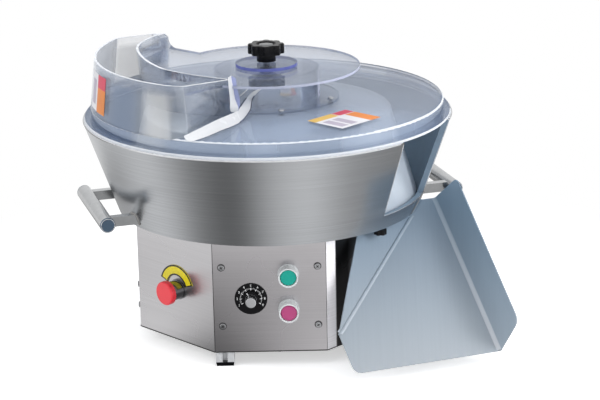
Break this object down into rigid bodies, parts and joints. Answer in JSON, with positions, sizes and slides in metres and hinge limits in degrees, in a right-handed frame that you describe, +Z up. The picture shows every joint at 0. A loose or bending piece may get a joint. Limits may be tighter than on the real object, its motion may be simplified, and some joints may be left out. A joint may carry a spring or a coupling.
{
  "type": "bench dough rounder",
  "caption": "Bench-top dough rounder with a conical bowl on an octagonal casing, a clear lid with a crescent hopper, carrying handles and an outlet chute.",
  "frame": {"origin": "under the middle of the machine's box, on the table", "axes": "+Z up, -Y towards the control panel, +X to the chute side"},
  "size_m": [0.7246, 0.6219, 0.4884],
  "materials": {
    "brushed_skin": "fine horizontal brushing",
    "brushed_panel": "fine horizontal brushing",
    "light_panel": "fine horizontal brushing",
    "handle_steel": "satin",
    "chute_steel": "satin, blue-grey",
    "screw_steel": "bright",
    "dark_chrome": "dark polished",
    "bare_aluminium": "machined",
    "profile_aluminium": "satin anodised",
    "knob_silver": "turned",
    "rotor_coating": "non-stick coating, light grey",
    "black_coating": "satin black",
    "motor_grey": "satin enamel",
    "dial_black": "satin black with white marks",
    "arc_yellow": "yellow with black border",
    "liner_plastic": "blue-grey",
    "white_seal": "food-grade white",
    "belt_rubber": "ribbed",
    "black_plastic": "satin black",
    "cap_plastic": "dark blue-grey",
    "boot_silicone": "translucent",
    "button_green": "gloss",
    "button_red": "gloss",
    "estop_red": "gloss",
    "clear_sheet": "clear polished sheet, faint blue tint"
  },
  "bodies": {
    "stand": {"casing_front_panel": "brushed_panel", "casing_left_wrap": "light_panel", "casing_right_wrap": "light_panel", "casing_rear_panel": "brushed_panel", "base_plate": "black_coating", "frame_posts": "profile_aluminium", "foot_caps": "black_plastic", "bowl_skin": "brushed_skin", "bowl_liner": "liner_plastic", "bowl_floor": "brushed_panel", "rim_gasket": "white_seal", "left_handle_tube": "handle_steel", "right_handle_tube": "handle_steel", "handle_bars": "handle_steel", "handle_caps": "cap_plastic", "bearing_housing": "bare_aluminium", "bearing_outer_rings": "screw_steel", "housing_bolts": "screw_steel", "casing_screws": "screw_steel", "base_plate_screws": "screw_steel", "motor_mount": "black_coating", "gearbox": "bare_aluminium", "motor": "motor_grey", "drive_belt": "belt_rubber", "speed_drive": "black_plastic", "dial_plate": "dial_black", "potentiometer": "bare_aluminium", "start_boot": "boot_silicone", "stop_boot": "boot_silicone", "button_contacts": "black_plastic", "estop_collar": "dark_chrome", "estop_contact": "black_plastic", "estop_arc_plate": "arc_yellow", "cable_gland": "black_plastic", "chute": "chute_steel"},
    "rotor": {"rotor_cone": "rotor_coating", "rotor_hub": "bare_aluminium", "rotor_screws": "screw_steel", "spindle": "screw_steel", "bearing_inner_rings": "screw_steel", "driven_pulley": "bare_aluminium"},
    "motor_drive": {"motor_pulley": "bare_aluminium", "motor_shaft": "screw_steel"},
    "lid": {"lid_cover": "clear_sheet", "hopper": "clear_sheet", "lid_platform": "clear_sheet", "lid_riser": "clear_sheet", "lid_screws": "screw_steel", "platform_washer": "clear_sheet", "stud_nut": "screw_steel"},
    "lid_knob": {"lid_knob": "black_plastic", "knob_stud": "screw_steel"},
    "start_button": {"start_button": "button_green"},
    "stop_button": {"stop_button": "button_red"},
    "estop_plunger": {"estop_plunger": "black_plastic"},
    "estop_head": {"estop_head": "estop_red"},
    "speed_knob": {"speed_knob": "knob_silver"},
    "left_thumb_knob": {"left_thumb_knob": "black_plastic"},
    "right_thumb_knob": {"right_thumb_knob": "black_plastic"}
  },
  "joints": [
    {"name": "rotor_spin", "type": "hinge", "parent": "stand", "child": "rotor", "pos_m": [-0.03319, 0, 0.3706], "axis": [0, 0, 1], "continuous": true},
    {"name": "motor_spin", "type": "hinge", "parent": "stand", "child": "motor_drive", "pos_m": [-0.10776, 0.10649, 0.2017], "axis": [0, 0, 1], "continuous": true},
    {"name": "lid_lift", "type": "slide", "parent": "stand", "child": "lid", "axis": [0, 0, 1], "range_m": [0, 0.2]},
    {"name": "lid_knob_turn", "type": "hinge", "parent": "lid", "child": "lid_knob", "pos_m": [-0.03319, 0, 0.4589], "axis": [0, 0, 1], "continuous": true},
    {"name": "start_button_press", "type": "slide", "parent": "stand", "child": "start_button", "axis": [0, 1, 0], "range_m": [0, 0.004], "stiffness_N_per_m": 600},
    {"name": "stop_button_press", "type": "slide", "parent": "stand", "child": "stop_button", "axis": [0, 1, 0], "range_m": [0, 0.004], "stiffness_N_per_m": 600},
    {"name": "estop_push", "type": "slide", "parent": "stand", "child": "estop_plunger", "axis": [0.7071, 0.7071, 0], "range_m": [0, 0.005]},
    {"name": "estop_twist", "type": "hinge", "parent": "estop_plunger", "child": "estop_head", "pos_m": [-0.20007, -0.1796, 0.1156], "axis": [-0.7071, -0.7071, 0], "range_deg": [-45, 0], "stiffness_Nm_per_rad": 0.08},
    {"name": "speed_turn", "type": "hinge", "parent": "stand", "child": "speed_knob", "pos_m": [-0.06389, -0.2215, 0.1169], "axis": [0, -1, 0], "range_deg": [-150, 90]},
    {"name": "left_thumb_turn", "type": "hinge", "parent": "stand", "child": "left_thumb_knob", "pos_m": [0.14789, -0.16886, 0.2167], "axis": [0, 0, 1], "continuous": true},
    {"name": "right_thumb_turn", "type": "hinge", "parent": "stand", "child": "right_thumb_knob", "pos_m": [0.19947, -0.08468, 0.2167], "axis": [0, 0, 1], "continuous": true}
  ],
  "couplings": [
    {"joint": "motor_spin", "follows": "rotor_spin", "ratio": 3.0147}
  ]
}
